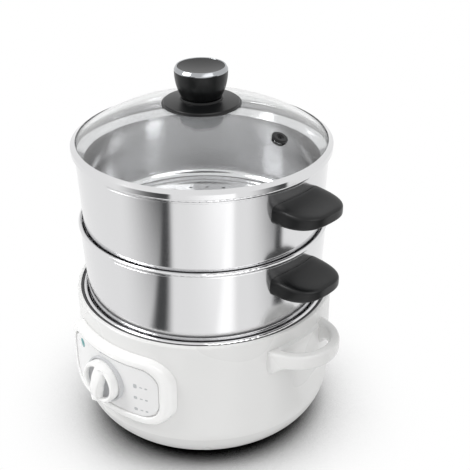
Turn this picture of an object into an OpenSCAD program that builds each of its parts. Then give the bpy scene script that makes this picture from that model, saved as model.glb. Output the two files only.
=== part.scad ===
// Electric food steamer: a heated base with a mechanical timer, two steel tiers and a glass lid.
// All sizes are in millimetres. The stack stands as it does in use, each piece nested in the one below.
// The origin is on the axis at the resting plane, +Z is up, the control panel faces -Y, handles lie on X.

/* [Stack] */
// Outer radius of the rolled rim that the pan and both tiers share
rim_r = 120; // [110:1:135]
// Radius of the rolled bead on each steel rim
bead_r = 1.75; // [1.4:0.05:2]
// Thickness of the stainless steel sheet
sheet = 0.8; // [0.6:0.1:1]
// How far a tier's floor sits below the rim that carries it
nest = 14; // [13:0.5:16]
// Gap left between a tier and the cone it sits on
seat_gap = 0.3; // [0.2:0.05:0.5]
// How far the seat runs inwards past the line where the tier touches it
seat_run = 1.5; // [1:0.25:3]

/* [Tiers] */
// Height of a tier from its floor to its rim
tier_h = 86; // [78:1:110]
// Draw of the tier's wall, how much smaller it is at the foot than at the rim
tier_draw = 3.6; // [2.5:0.1:4.5]
// Radius of the rounded edge round a tier's floor
tier_fillet = 12; // [10:0.5:13]
// Diameter of the steam holes in a tier's floor
steam_hole_d = 3.5; // [3:0.5:6]
// Distance between the rings of steam holes
steam_pitch = 16.5; // [14:0.5:18]
// Number of rings of steam holes
steam_rings = 5; // [3:1:5]

/* [Tier handles] */
// Width of a tier handle where it meets the wall
grip_w = 62; // [50:1:70]
// How far a tier handle stands out past the rim
grip_reach = 35; // [28:1:42]
// Height of a tier handle at the wall
grip_root_h = 20.5; // [18:0.5:24]
// Height of a tier handle at its tip
grip_tip_h = 10; // [8:0.5:13]
// Drop from the rim to the top of the handle
grip_drop = 15; // [12:0.5:20]
// Clearance between a handle or bracket and the wall behind it
wall_gap = 0.15; // [0.1:0.05:0.3]
// Width of the steel tongue that carries the handle
tongue_w = 22; // [16:1:26]
// Thickness of the tongue
tongue_t = 1.6; // [1.2:0.1:2]
// Length of the tongue out from the rim radius
tongue_len = 20; // [17:1:24]
// Radius of the handle screw's shank
grip_screw_r = 1.65; // [1.4:0.05:2]

/* [Base body] */
// Height of the pan's rim above the table
base_rim_z = 145; // [138:1:165]
// Wall thickness of the white housing
base_wall = 3.2; // [2.6:0.1:3.6]
// Gap round the pan's rim that holds the seal
seal_gap = 2.8; // [2.4:0.1:3.4]
// Radius of the rounded lower edge of the base
base_fillet = 46; // [40:1:50]
// Clear height under the bottom cover
foot_h = 3; // [2:0.5:5]
// Height of the joint between the housing and the bottom cover
parting_z = 38; // [34:1:42]
// Rounding of the housing's top edge
edge_r = 1.5; // [0.8:0.1:2]
// Height of the pan's floor above the table
pan_floor_z = 86; // [84:1:92]
// Radius of the rounded edge round the pan's floor
pan_fillet = 14; // [12:1:16]

/* [Cover and feet] */
// Inner radius of the rubber foot ring
foot_ring_r = 70; // [60:1:72]
// Width of the rubber foot ring
foot_ring_w = 10; // [7:0.5:10]
// Depth of the groove that holds the foot ring
foot_groove = 1.5; // [1:0.25:2]
// Number of ventilation slots in the cover
vent_count = 12; // [6:1:16]
// Width of one ventilation slot
vent_w = 4; // [2.5:0.5:5]
// Length of one ventilation slot
vent_len = 30; // [20:1:36]
// Distance of the cover screws from the axis, inside the housing's outer radius
screw_inset = 10; // [9:0.5:12]
// Radius of the cover screw's shank
cover_screw_r = 1.75; // [1.5:0.05:2]
// Outer radius of the screw bosses
boss_r = 5; // [4.5:0.25:6]

/* [Base handles] */
// How far a base handle stands out from the housing
loop_reach = 35.5; // [30:0.5:42]
// Half of the distance across the loop where it meets the housing
loop_half_w = 39.5; // [37:0.5:44]
// Thickness of the loop's band seen from above
loop_band = 10; // [8:0.5:12]
// Height of the loop's band
loop_h = 16; // [14:0.5:18]
// Drop from the rim to the top of the loop
loop_drop = 14; // [11:0.5:18]
// Rounding of the band's edges
loop_round = 4; // [2:0.25:4.5]
// Height of the raised pad behind the loop
pad_h = 28; // [26:1:32]
// Thickness of the pad
pad_t = 2.5; // [1.5:0.25:3.5]
// Radius of the handle screw's shank on the base
loop_screw_r = 1.6; // [1.4:0.05:1.9]

/* [Control panel] */
// Width of the raised bezel, seen from the front
panel_w = 136; // [130:1:144]
// Height of the bezel
panel_h = 73; // [68:1:76]
// Height of the panel's centre above the table
panel_z = 91; // [88:0.5:94]
// Corner radius of the bezel
panel_corner = 26; // [22:1:30]
// How far the bezel stands out from the housing
panel_proud = 9; // [8:0.25:11]
// Width of the bezel's frame
bezel_w = 10; // [8:0.5:11]
// Rounding of the bezel's outer shoulder
bezel_round = 4; // [2:0.25:5]
// Thickness of the inset plate
plate_t = 2.6; // [2:0.1:3]
// How far the plate lies below the bezel's face
plate_sink = 1.4; // [1:0.1:2]
// Clearance round the plate and other pressed-in trims
trim_gap = 0.25; // [0.15:0.05:0.35]
// Width of the ledge that the plate rests on
ledge_w = 2.5; // [2:0.25:3]
// Radius of the bezel's fixing posts
post_r = 2; // [1.5:0.1:2.5]

/* [Timer and lamp] */
// Radius of the timer knob
knob_r = 20.9; // [18:0.1:23]
// Depth of the timer knob
knob_depth = 15; // [13:0.5:18]
// Width of the knob's grip bar
knob_bar_w = 10; // [8:0.5:12]
// Angle of the grip bar at the off position, clockwise from upright
knob_bar_angle = 15; // [0:1:30]
// Thickness of the knob's rim
knob_rim = 3; // [2.5:0.25:4]
// Clearance between the knob and the ring round it
knob_gap = 0.5; // [0.4:0.05:0.8]
// Width of the ring round the knob
dial_ring_w = 1.8; // [1.2:0.1:2.5]
// How far the ring stands out from the plate
dial_ring_h = 2.6; // [2:0.1:3]
// Radius of the timer's shaft
shaft_r = 3; // [2.5:0.1:3.2]
// Running clearance round the shaft
shaft_gap = 0.05; // [0.03:0.01:0.08]
// Radius of the timer's case
timer_r = 20; // [18:0.5:21]
// Gap between the timer's case and the water pan behind it
timer_room = 1.3; // [0.8:0.1:3]
// Distance of the timer's screws from its shaft
timer_screw_x = 14; // [12.5:0.5:15]
// Radius of the indicator lens
lens_r = 4.6; // [3.5:0.1:4.8]
// Distance of the lens's centre from the plate's left edge
lens_inset = 19; // [17:0.5:22]
// Distance of the lens's centre below the plate's top edge
lens_drop = 7.5; // [7:0.25:11]

/* [Heater] */
// Radius of the aluminium heat plate
plate_r = 68; // [60:1:75]
// Thickness of the heat plate
heat_plate_t = 5; // [4:0.5:6]
// Radius of the ring that the heating tube follows
element_ring_r = 52; // [45:1:56]
// Radius of the heating tube
element_r = 4; // [3:0.25:4.5]
// Depth of the heat shield below the heat plate
shield_drop = 22; // [20:1:26]
// Gap between the heat shield and the leads that run round it
shield_gap = 9.6; // [7:0.2:12]
// Radius of the central stud that holds the shield
stud_r = 3; // [2.5:0.25:4]

/* [Power inlet] */
// Height of the inlet above the table
inlet_z = 64; // [62:1:80]
// Width of the inlet's body
inlet_w = 27.4; // [26:0.2:29]
// Height of the inlet's body
inlet_h = 20.4; // [19:0.2:22]
// Wall of the socket
inlet_wall = 1.8; // [1.2:0.1:2.2]
// Depth of the socket
socket_depth = 19; // [17:0.5:20]

/* [Lid] */
// Radius of the glass dome's outer face
dome_r = 210; // [190:2:240]
// Thickness of the glass
glass_t = 4; // [3:0.25:4.5]
// Overhang of the lid's steel band past the tier's rim
lid_over = 2; // [1.5:0.25:4]
// Height of the glass edge above the lid's underside
glass_edge_z = 5; // [4.8:0.1:7]
// Depth of the skirt that centres the lid
skirt_h = 3; // [2:0.25:3.5]
// Side clearance of the skirt in the tier's mouth
skirt_gap = 0.6; // [0.4:0.05:1]
// Radius of the black disc under the lid's knob
disc_r = 37; // [32:1:44]
// Radius of the lid's knob at its foot
lid_knob_foot_r = 18.5; // [16:0.5:21]
// Radius of the lid's knob at its top
lid_knob_top_r = 24.5; // [22:0.5:28]
// Height of the lid's knob below the bright ring
lid_knob_h = 25; // [20:0.5:28]
// Height of the bright ring
ring_h = 4; // [2.5:0.1:4.5]
// Radius of the screw that holds the lid's knob
knob_screw_r = 1.7; // [1.5:0.05:1.8]
// Distance of the steam vent from the axis
vent_r = 85; // [70:1:92]
// Angle of the steam vent round the axis
vent_angle = 8; // [-20:1:20]
// Radius of the vent's steam hole
vent_hole_r = 1.8; // [1:0.1:1.9]

/* [Hidden] */
$fn = 96;

white = "whitesmoke";
steel = "silver";
black = [0.13, 0.13, 0.14];

// Stack: places that follow from the driving sizes
slack = 0.2; // small clearance between pieces that are fixed together
cut = 1; // how far a cutting solid runs past the face it cuts
wall_in_r = rim_r - bead_r - sheet / 2; // inside of a steel wall just under its bead
mouth_r = rim_r - 2 * bead_r; // clear opening inside the bead
foot_r = wall_in_r + sheet - tier_draw; // outside of a tier's wall above its rounded edge
cone = cos(45);
seat_touch_r = foot_r - tier_fillet + (tier_fillet + seat_gap) * cone;
seat_touch_drop = nest - tier_fillet + (tier_fillet + seat_gap) * cone;
seat_in_r = seat_touch_r - seat_run;
seat_in_drop = seat_touch_drop + seat_run;
seat_out_drop = seat_touch_drop - (wall_in_r - seat_touch_r);
bowl_r = seat_in_r - 4.2; // inside of the pan below its seat
lower_z = base_rim_z - nest;
upper_z = lower_z + tier_h - nest;
lid_z = upper_z + tier_h + seat_gap;

// Base
base_r = rim_r + seal_gap + base_wall;
base_in_r = base_r - base_wall;
fillet_r0 = base_r - base_fillet; // centre of the lower rounding
fillet_z0 = foot_h + base_fillet;
housing_top = base_rim_z - 0.5;
ledge_z = base_rim_z - 2 * bead_r - 1.6; // ledge that carries the seal and the pan
ledge_r = wall_in_r + sheet + 0.6;
spigot_h = 4;
spigot_t = 2.4;
spigot_r = fillet_r0 + sqrt(pow(base_fillet - base_wall, 2) - pow(fillet_z0 - parting_z, 2)) - slack;
screw_circle = base_r - screw_inset;
screw_angles = [45, 135, 225, 315];
seat_z = parting_z + spigot_h; // where cover posts and housing bosses meet
head_z = seat_z - 10; // underside of the hole that the screw heads pull against
boss_h = 24;
loop_z = base_rim_z - loop_drop - loop_h / 2;
loop_x = base_r + loop_reach - loop_half_w; // centre of the loop's arc
loop_mid_r = loop_half_w - loop_band / 2;
pad_z = base_rim_z - loop_drop - pad_h / 2;

// Panel and timer, as distances from the axis
bezel_face = base_r + panel_proud;
plate_face = bezel_face - plate_sink;
plate_back = plate_face - plate_t;
plate_w = panel_w - 2 * bezel_w;
plate_h = panel_h - 2 * bezel_w;
plate_corner = panel_corner - bezel_w + 2;
lens_angle = -asin((plate_w / 2 - lens_inset) / plate_face); // round the axis, from the panel's centre
lens_up = plate_h / 2 - lens_drop;
post_x = panel_w / 2 - bezel_w / 2 - 4;
post_up = panel_h / 2 - bezel_w - 3;
post_root = sqrt(pow(base_r, 2) - pow(post_x, 2)); // where a post meets the housing's face
timer_flange_r = timer_r + 1;
timer_front = sqrt(pow(plate_back, 2) - pow(timer_flange_r, 2)) - 0.1;
timer_flange_t = 2;
timer_back = bowl_r + sheet + timer_room;
timer_tab = 11; // how far the timer's terminals stand out behind it
tab_z = pan_floor_z - sheet - 1.2; // the terminals lie just under the pan
bushing_r = 4.8;
bushing_end = plate_face + 0.6;
knob_back = plate_face + 0.8;
knob_face = knob_back + knob_depth;
shaft_end = knob_back + knob_depth - 3;
timer_screw_r = 1.4;
window_r = timer_flange_r + 0.5;

// Heater
heat_plate_z = pan_floor_z - sheet - heat_plate_t;
shield_z = heat_plate_z - shield_drop;
element_z = heat_plate_z - element_r - 0.1;
leg_angles = [-12, 12]; // where the two cold ends of the heating tube turn down
nut_h = 5;

// Inlet
inlet_face = base_r + 2;
inlet_back = inlet_face - 22;
inlet_flange = 3;
pin_back = inlet_back - 2;
pin_len = 13;
pins = [[-7, 2], [7, 2], [0, -3.5]]; // places of the three pins, across and up
wire_ring_r = pin_back - 4;
wire_r = 1.4;
shield_r = wire_ring_r - wire_r - shield_gap - 1;

// Lid
lid_r = rim_r + lid_over;
band_t = 0.8;
glass_edge_r = lid_r - band_t - 1.4;
dome_z = lid_z + glass_edge_z - sqrt(pow(dome_r, 2) - pow(glass_edge_r, 2)); // centre of the dome
lip_r = glass_edge_r - 2.3;
dome_top = dome_z + dome_r;
disc_t = 2.5;
lid_knob_z = dome_top + disc_t + 1.2;
grommet_r = 7.4;
grommet_neck_r = 5.1;

// Points along an arc in the r-z plane
function arc(c, r, a0, a1, n) =
    [for (i = [0:n]) let (a = a0 + (a1 - a0) * i / n) [c[0] + r * cos(a), c[1] + r * sin(a)]];

function unit(v) = v / norm(v);
function right_of(d) = [d[1], -d[0]];

// The same path moved to its right by t, with mitred corners
function beside(p, t) = [for (i = [0:len(p) - 1])
    let (a = right_of(unit(p[max(i, 1)] - p[max(i, 1) - 1])),
         j = min(i, len(p) - 2),
         b = right_of(unit(p[j + 1] - p[j])))
    p[i] + t * (a + b) / (1 + a * b)];

function reversed(p) = [for (i = [len(p) - 1:-1:0]) p[i]];

// A wall of thickness t between a path and the same path beside it
function walled(p, t) = concat(p, reversed(beside(p, t)));

// Radius of a tier's outer wall at a height above its floor
function tier_wall_r(z) =
    foot_r + (wall_in_r + sheet - foot_r) * (z - tier_fillet) / (tier_h - bead_r - tier_fillet);

// Height of the dome's outer face at a distance from the axis
function dome_height(r) = dome_z + sqrt(pow(dome_r, 2) - pow(r, 2));

module revolve(points) {
    rotate_extrude() polygon(points);
}

// Section of a floor that turns up into a wall: outer radius r, rounded edge, thickness, floor's underside z
module foot_section(r, fillet, wall, z) {
    difference() {
        union() {
            translate([r - fillet, z + fillet]) circle(r = fillet);
            translate([0, z]) square([r - fillet, fillet]);
        }
        translate([r - fillet, z + fillet]) circle(r = fillet - wall);
        translate([0, z + wall]) square([r - fillet, fillet]);
        translate([0, z + fillet]) square([r + cut, fillet]);
    }
}

// A skin over rings of points, capped at both ends unless the last ring meets the first
module loft(rings, capped = true) {
    n = len(rings[0]);
    m = len(rings);
    polyhedron(
        points = [for (ring = rings) each ring],
        faces = concat(
            [for (i = [0:capped ? m - 2 : m - 1], j = [0:n - 1]) let (k = (j + 1) % n, h = (i + 1) % m)
                each [[i * n + j, i * n + k, h * n + k], [i * n + j, h * n + k, h * n + j]]],
            capped ? [[for (j = [n - 1:-1:0]) j], [for (j = [0:n - 1]) (m - 1) * n + j]] : []));
}

// Points round a rounded rectangle, with its long sides divided so that they can follow a curve
function rounded_outline(w, h, r) =
    let (a = w / 2 - r, b = h / 2 - r, n = 6, m = 12,
         corner = function(x, z, a0) [for (i = [0:n]) [x + r * cos(a0 + 90 * i / n), z + r * sin(a0 + 90 * i / n)]])
    concat(corner(a, b, 0), [for (i = [1:m - 1]) [a - 2 * a * i / m, h / 2]], corner(-a, b, 90),
        corner(-a, -b, 180), [for (i = [1:m - 1]) [2 * a * i / m - a, -h / 2]], corner(a, -b, 270));

module tube(r_in, r_out, z0, z1) {
    difference() {
        translate([0, 0, z0]) cylinder(h = z1 - z0, r = r_out);
        translate([0, 0, z0 - cut]) cylinder(h = z1 - z0 + 2 * cut, r = r_in);
    }
}

module rounded_rect(w, h, r) {
    square([w - 2 * r, h], center = true);
    square([w, h - 2 * r], center = true);
    for (x = [-1, 1], y = [-1, 1]) {
        translate([x * (w / 2 - r), y * (h / 2 - r)]) circle(r = r);
    }
}

// Turn a child drawn face-on so that its own Z points out of the front, at height z
module on_front(z) {
    translate([0, 0, z]) rotate([90, 0, 0]) children();
}

module on_back(z) {
    translate([0, 0, z]) rotate([90, 0, 180]) children();
}

module on_each_side() {
    children();
    mirror([1, 0, 0]) children();
}

module rod(r, from, to, sides = $fn) {
    translate([0, 0, from]) cylinder(h = to - from, r = r, $fn = sides);
}

// The rolled bead of a steel rim whose top is at height z
module bead(z) {
    rotate_extrude() translate([rim_r - bead_r, z - bead_r]) circle(r = bead_r, $fn = 32);
}

// Part of a tube round the axis with the outline of a rounded rectangle seen from the front
module front_band(r_in, r_out, w, h, corner) {
    intersection() {
        tube(r_in, r_out, panel_z - h, panel_z + h);
        on_front(panel_z) {
            translate([0, 0, base_r / 2]) linear_extrude(base_r) rounded_rect(w, h, corner);
        }
    }
}

// ---- Base ----

// The base seen in section, filled, drawn in from its outer face by inset
module base_section(inset) {
    translate([fillet_r0, fillet_z0]) circle(r = base_fillet - inset);
    translate([0, foot_h + inset]) square([fillet_r0, base_fillet]);
    translate([0, fillet_z0]) square([base_r - inset, housing_top - edge_r - fillet_z0]);
}

module housing_shell() {
    gusset = base_in_r - ledge_r;
    rotate_extrude() {
        difference() {
            union() {
                base_section(0);
                translate([base_r - edge_r, housing_top - edge_r]) circle(r = edge_r);
                translate([0, housing_top - 2 * edge_r]) square([base_r - edge_r, 2 * edge_r]);
            }
            base_section(base_wall);
            translate([0, ledge_z]) square([base_in_r, base_rim_z]);
            square([base_r + cut, parting_z]);
        }
        polygon([[ledge_r, ledge_z - 2.5], [base_in_r + 0.5, ledge_z - 3 - gusset],
            [base_in_r + 0.5, ledge_z], [ledge_r, ledge_z]]);
    }
}

module housing_bosses() {
    for (a = screw_angles) rotate(a) {
        translate([screw_circle, 0, seat_z + slack]) cylinder(h = boss_h, r = boss_r);
        translate([screw_circle, -1, seat_z + slack]) cube([base_in_r + 1 - screw_circle, 2, boss_h]);
    }
}

module base_housing() {
    color(white) difference() {
        union() {
            housing_shell();
            housing_bosses();
            on_back(inlet_z) translate([0, 0, base_in_r - 6]) {
                linear_extrude(inlet_face - base_in_r + 6) rounded_rect(inlet_w + 10, inlet_h + 8, 3);
            }
        }
        on_front(panel_z) rod(window_r, base_r / 2, base_r + cut);
        rotate(lens_angle) on_front(panel_z + lens_up) rod(4, base_r - 15, base_r + cut);
        on_front(panel_z) for (x = [-1, 1], y = [-1, 1]) {
            translate([x * post_x, y * post_up, 0]) rod(post_r + slack, base_r / 2, base_r + cut);
        }
        on_each_side() for (y = [-1, 1]) {
            translate([0, y * loop_mid_r, loop_z]) rotate([0, 90, 0]) rod(2.1, base_r / 2, base_r + cut);
        }
        on_back(inlet_z) translate([0, 0, base_r / 2]) {
            linear_extrude(base_r) square([inlet_w + 2 * slack, inlet_h + 2 * slack], center = true);
        }
        for (a = screw_angles) rotate(a) translate([screw_circle, 0, 0]) {
            rod(cover_screw_r + shaft_gap, seat_z - cut, seat_z + boss_h - 5);
        }
    }
}

// The cover's outer form, filled solid
module cover_envelope() {
    rotate_extrude() {
        intersection() {
            base_section(0);
            square([base_r, parting_z]);
        }
        square_from_axis(spigot_r, fillet_z0 - 20, seat_z);
    }
}

// The space inside the cover
module cover_cavity() {
    rotate_extrude() {
        intersection() {
            base_section(base_wall);
            square([spigot_r - spigot_t, seat_z + cut]);
        }
        square_from_axis(spigot_r - spigot_t, seat_z - cut, seat_z + cut);
    }
}

module square_from_axis(r, z0, z1) {
    translate([0, z0]) square([r, z1 - z0]);
}

module base_cover() {
    color(white) difference() {
        cover_envelope();
        difference() {
            cover_cavity();
            for (a = screw_angles) rotate(a) translate([screw_circle, 0, 0]) {
                rod(boss_r, foot_h, seat_z + 2 * cut);
            }
        }
        tube(foot_ring_r, foot_ring_r + foot_ring_w, 0, foot_h + foot_groove);
        for (i = [0:vent_count - 1]) rotate(i * 360 / vent_count) {
            translate([foot_ring_r - vent_len / 2 - 8, 0, 0]) {
                linear_extrude(foot_h + 2 * base_wall) rounded_rect(vent_len, vent_w, vent_w / 2 - 0.1);
            }
        }
        for (a = screw_angles) rotate(a) translate([screw_circle, 0, 0]) {
            rod(boss_r - 1.2, -cut, head_z);
            rod(cover_screw_r + 0.4, head_z - cut, seat_z + cut);
        }
    }
}

module foot_ring() {
    inner = foot_ring_r + 0.1;
    outer = foot_ring_r + foot_ring_w - 0.1;
    top = foot_h + foot_groove;
    color(black) revolve([[inner + 1, 0], [outer - 1, 0], [outer, 1], [outer, top], [inner, top], [inner, 1]]);
}

module cover_screws() {
    color(steel) for (a = screw_angles) rotate(a) translate([screw_circle, 0, 0]) {
        difference() {
            rod(boss_r - 1.5, head_z - 3, head_z);
            rod(1.6, head_z - 4, head_z - 1.5);
        }
        rod(cover_screw_r, head_z - 0.5, seat_z + 14);
    }
}

module loop_section() {
    rounded_rect(loop_band, loop_h, loop_round);
}

// One moulding: the loop, its two roots, and the pad that lies on the housing
module base_handle() {
    reach = base_r + pad_t;
    root = pad_z - pad_h / 2;
    lug_x = loop_x - 10;
    color(white) difference() {
        union() {
            translate([loop_x, 0, loop_z]) {
                rotate(-90) rotate_extrude(angle = 180) translate([loop_mid_r, 0]) loop_section();
                for (y = [-1, 1]) {
                    translate([-10, y * loop_mid_r, 0]) rotate([90, 0, 90]) {
                        linear_extrude(10) loop_section();
                    }
                }
            }
            for (y = [-1, 1]) translate([0, y * loop_mid_r + loop_band / 2, 0]) rotate([90, 0, 0]) {
                linear_extrude(loop_band) polygon([[lug_x, loop_z], [base_r + 6, loop_z],
                    [base_r + 3, loop_z - loop_h / 2 - 1], [base_r, root], [lug_x, root]]);
            }
            intersection() {
                tube(base_r - 1, reach, root, root + pad_h);
                translate([base_r / 2, 0, pad_z]) rotate([90, 0, 90]) {
                    linear_extrude(base_r) rounded_rect(2 * loop_half_w, pad_h, loop_round);
                }
            }
        }
        rod(base_r + slack / 2, 0, base_rim_z);
        for (y = [-1, 1]) translate([0, y * loop_mid_r, loop_z]) rotate([0, 90, 0]) {
            rod(loop_screw_r + shaft_gap, base_r / 2, base_r + 6);
        }
    }
}

module base_handle_left() {
    mirror([1, 0, 0]) base_handle();
}

module base_handle_right() {
    base_handle();
}

module handle_screws() {
    wall_x = sqrt(pow(base_in_r, 2) - pow(loop_mid_r + 3.5, 2));
    color(steel) on_each_side() for (y = [-1, 1]) {
        translate([0, y * loop_mid_r, loop_z]) rotate([0, 90, 0]) {
            rod(3.5, wall_x - 2.7, wall_x - 0.1);
            rod(loop_screw_r, wall_x - 1, base_r + 5);
        }
    }
}

module water_pan() {
    bowl_top = pan_floor_z + pan_fillet;
    neck_z = base_rim_z - seat_in_drop - 7; // where the wall starts to widen to the seat
    inside = [[bowl_r, bowl_top], [bowl_r, neck_z], [seat_in_r, base_rim_z - seat_in_drop],
        [wall_in_r, base_rim_z - seat_out_drop], [wall_in_r, base_rim_z - bead_r]];
    outside = beside(inside, sheet);
    color(steel) union() {
        rotate_extrude() foot_section(bowl_r + sheet, pan_fillet + sheet, sheet, pan_floor_z - sheet);
        revolve(concat(inside, [for (i = [4:-1:1]) outside[i]], [[bowl_r + sheet, bowl_top]]));
        bead(base_rim_z);
    }
}

module pan_seal() {
    inner = wall_in_r + sheet + 0.2;
    outer = base_in_r - 0.15;
    low = ledge_z + 1.5;
    high = base_rim_z - bead_r + 0.2;
    color([0.2, 0.2, 0.2]) revolve([[inner + 0.6, ledge_z], [outer, ledge_z], [outer, high],
        [rim_r + 0.3, high], [rim_r + 0.3, low], [inner + 0.6, low]]);
}

module heat_plate() {
    color("gainsboro") union() {
        rod(plate_r, heat_plate_z, heat_plate_z + heat_plate_t);
        rod(stud_r, shield_z - nut_h - 3, heat_plate_z + 1);
        rod(stud_r + 3, heat_plate_z - 3, heat_plate_z + 1);
    }
}

module heating_element() {
    gap = leg_angles[1] - leg_angles[0];
    neck = element_r - 0.1; // the cold ends run a little thinner than the heated tube
    color([0.45, 0.44, 0.42]) union() {
        translate([0, 0, element_z]) rotate(leg_angles[1] - 3) {
            rotate_extrude(angle = 366 - gap) translate([element_ring_r, 0]) circle(r = element_r, $fn = 60);
        }
        for (a = leg_angles) rotate(a) translate([element_ring_r, 0, 0]) {
            rod(neck, element_z - 11, element_z);
            rod(element_r / 2, shield_z - 6, element_z - 5);
        }
    }
}

module heat_shield() {
    path = [[0, shield_z], [shield_r - 6, shield_z], [shield_r, shield_z + 6],
        [shield_r + 1, shield_z + shield_drop - 6]];
    color(steel) difference() {
        revolve(walled(path, 0.6));
        rod(stud_r + 0.3, shield_z - cut, shield_z + cut);
        for (a = leg_angles) rotate(a) translate([element_ring_r, 0, 0]) {
            rod(element_r, shield_z - cut, shield_z + cut);
        }
    }
}

module shield_nut() {
    color(steel) difference() {
        translate([0, 0, shield_z - 0.6 - nut_h]) cylinder(h = nut_h, r = 2 * stud_r, $fn = 6);
        rod(stud_r + shaft_gap, shield_z - nut_h - 2, shield_z);
    }
}

module thermostat() {
    color("gainsboro") translate([plate_r / 2 - 8, 0, 0]) {
        rod(8.5, heat_plate_z - 1.6, heat_plate_z - 0.1);
        rod(7, heat_plate_z - 9, heat_plate_z - 1);
        for (y = [-4, 4]) translate([-0.4, y - 3.1, heat_plate_z - 15]) cube([0.8, 6.2, 7]);
    }
}

module thermal_fuse() {
    z = heat_plate_z - 2.4;
    color("white") translate([8 - plate_r / 2, 0, z]) rotate([90, 0, 0]) {
        rod(2.3, -6, 6);
        rod(0.6, -16, 16);
    }
}

// ---- Control panel ----

// The bezel's frame in section, from its outer foot over the soft shoulder to the ledge: [inset, radius]
function bezel_section() = concat(
    [[0, base_r + slack]],
    [for (i = [0:5]) let (a = 18 * i)
        [bezel_round * (1 - cos(a)), bezel_face + bezel_round * (sin(a) - 1)]],
    [[bezel_w - 0.6, bezel_face], [bezel_w, bezel_face - 0.6], [bezel_w, plate_back],
     [bezel_w + ledge_w, plate_back], [bezel_w + ledge_w, base_r + slack]]);

module panel_bezel() {
    color(white) union() {
        loft([for (q = reversed(bezel_section()))
            [for (p = rounded_outline(panel_w - 2 * q[0], panel_h - 2 * q[0], panel_corner - q[0]))
                [p[0], -sqrt(q[1] * q[1] - p[0] * p[0]), panel_z + p[1]]]], false);
        on_front(panel_z) for (x = [-1, 1], y = [-1, 1]) {
            translate([x * post_x, y * post_up, 0]) {
                rod(post_r, post_root - base_wall - 5, post_root + 2);
            }
        }
    }
}

module panel_plate() {
    color(white) difference() {
        front_band(plate_back, plate_face, plate_w - 2 * trim_gap, plate_h - 2 * trim_gap,
            plate_corner - trim_gap);
        on_front(panel_z) {
            rod(bushing_r + 0.4, base_r, bezel_face + cut);
            for (x = [-1, 1]) translate([x * timer_screw_x, 0, 0]) rod(timer_screw_r + 0.3, base_r, bezel_face);
        }
        rotate(lens_angle) on_front(panel_z + lens_up) rod(lens_r + 0.05, base_r, bezel_face + cut);
    }
}

module dial_ring() {
    inner = knob_r + knob_gap;
    color("gray") difference() {
        on_front(panel_z) difference() {
            rod(inner + dial_ring_w, base_r, plate_face + dial_ring_h);
            rod(inner, base_r - cut, bezel_face + 2 * dial_ring_h);
        }
        rod(plate_face + 0.05, panel_z - 2 * knob_r, panel_z + 2 * knob_r, 360);
    }
}

module indicator_lens() {
    face = plate_face + 0.5;
    color("teal") rotate(lens_angle) on_front(panel_z + lens_up) intersection() {
        rod(lens_r, plate_back - 0.6, face + cut);
        translate([0, 0, face - 18]) sphere(r = 18);
    }
}

module indicator_lamp() {
    color("orange") rotate(lens_angle) on_front(panel_z + lens_up) union() {
        rod(5, base_in_r - 6, base_in_r - 0.8);
        rod(2.8, base_in_r - 2, plate_back - 2.4);
        translate([0, 0, plate_back - 3.5]) sphere(r = 2.7);
    }
}

module timer_module() {
    color([0.85, 0.83, 0.75]) on_front(panel_z) difference() {
        union() {
            rod(timer_flange_r, timer_front - timer_flange_t, timer_front);
            rod(timer_r, timer_back, timer_front - 1);
            rod(bushing_r, timer_front - 1, bushing_end);
            for (x = [-8, 8]) translate([x - 3.1, tab_z - panel_z, timer_back - timer_tab]) {
                cube([6.2, 0.8, timer_tab + 1]);
            }
        }
        rod(shaft_r + shaft_gap, timer_back + 4, bushing_end + cut);
        for (x = [-1, 1]) translate([x * timer_screw_x, 0, 0]) {
            rod(timer_screw_r + shaft_gap, timer_front - 9, timer_front + cut);
        }
    }
}

module timer_screws() {
    face = sqrt(pow(plate_face, 2) - pow(timer_screw_x - 2.6, 2));
    color(steel) on_front(panel_z) for (x = [-1, 1]) translate([x * timer_screw_x, 0, 0]) {
        rod(2.6, face + 0.05, face + 1.4);
        rod(timer_screw_r, timer_front - 8, face + 1);
    }
}

// A dished knob with a grip bar across it; the two scoops beside the bar are cut by spheres
module timer_knob() {
    soft = 3;
    scoop_r = 24;
    half = knob_bar_w / 2;
    color(white) on_front(panel_z) rotate(-knob_bar_angle) difference() {
        revolve(concat([[0, knob_back], [knob_r, knob_back]],
            arc([knob_r - soft, knob_face - soft], soft, 0, 90, 6), [[0, knob_face]]));
        for (side = [-1, 1]) intersection() {
            rod(knob_r - knob_rim, knob_back + 4, knob_face + cut);
            translate([side * (half + knob_r), 0, knob_face]) cube(2 * knob_r, center = true);
            translate([side * (half + 5), 0, knob_face + scoop_r - 9]) sphere(r = scoop_r);
        }
        translate([0, knob_r - 6, knob_face - 0.6]) linear_extrude(2) square([1.2, 7], center = true);
        rod(shaft_r + shaft_gap, knob_back - cut, shaft_end + slack);
        difference() {
            rod(knob_r - 2.4, knob_back - cut, knob_back + 2.2);
            rod(shaft_r + 3, knob_back - 2 * cut, knob_back + 3);
        }
    }
}

module timer_shaft() {
    color(steel) on_front(panel_z) rod(shaft_r, timer_back + 4.5, shaft_end);
}

// ---- Power inlet and wiring ----

module pin_group(gap, from, to) {
    for (p = pins) translate([p[0], p[1], from]) {
        linear_extrude(to - from) square([2 + 2 * gap, 4 + 2 * gap], center = true);
    }
}

module power_inlet() {
    color(black) on_back(inlet_z) difference() {
        union() {
            translate([0, 0, inlet_face]) linear_extrude(inlet_flange) {
                rounded_rect(inlet_w + 6, inlet_h + 5, 2);
            }
            translate([0, 0, inlet_back]) {
                linear_extrude(inlet_face - inlet_back + 1) square([inlet_w, inlet_h], center = true);
            }
        }
        translate([0, 0, inlet_face + inlet_flange - socket_depth]) linear_extrude(socket_depth + cut) {
            rounded_rect(inlet_w - 2 * inlet_wall, inlet_h - 2 * inlet_wall, 2);
        }
        pin_group(shaft_gap, inlet_back - cut, inlet_face);
    }
}

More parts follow.
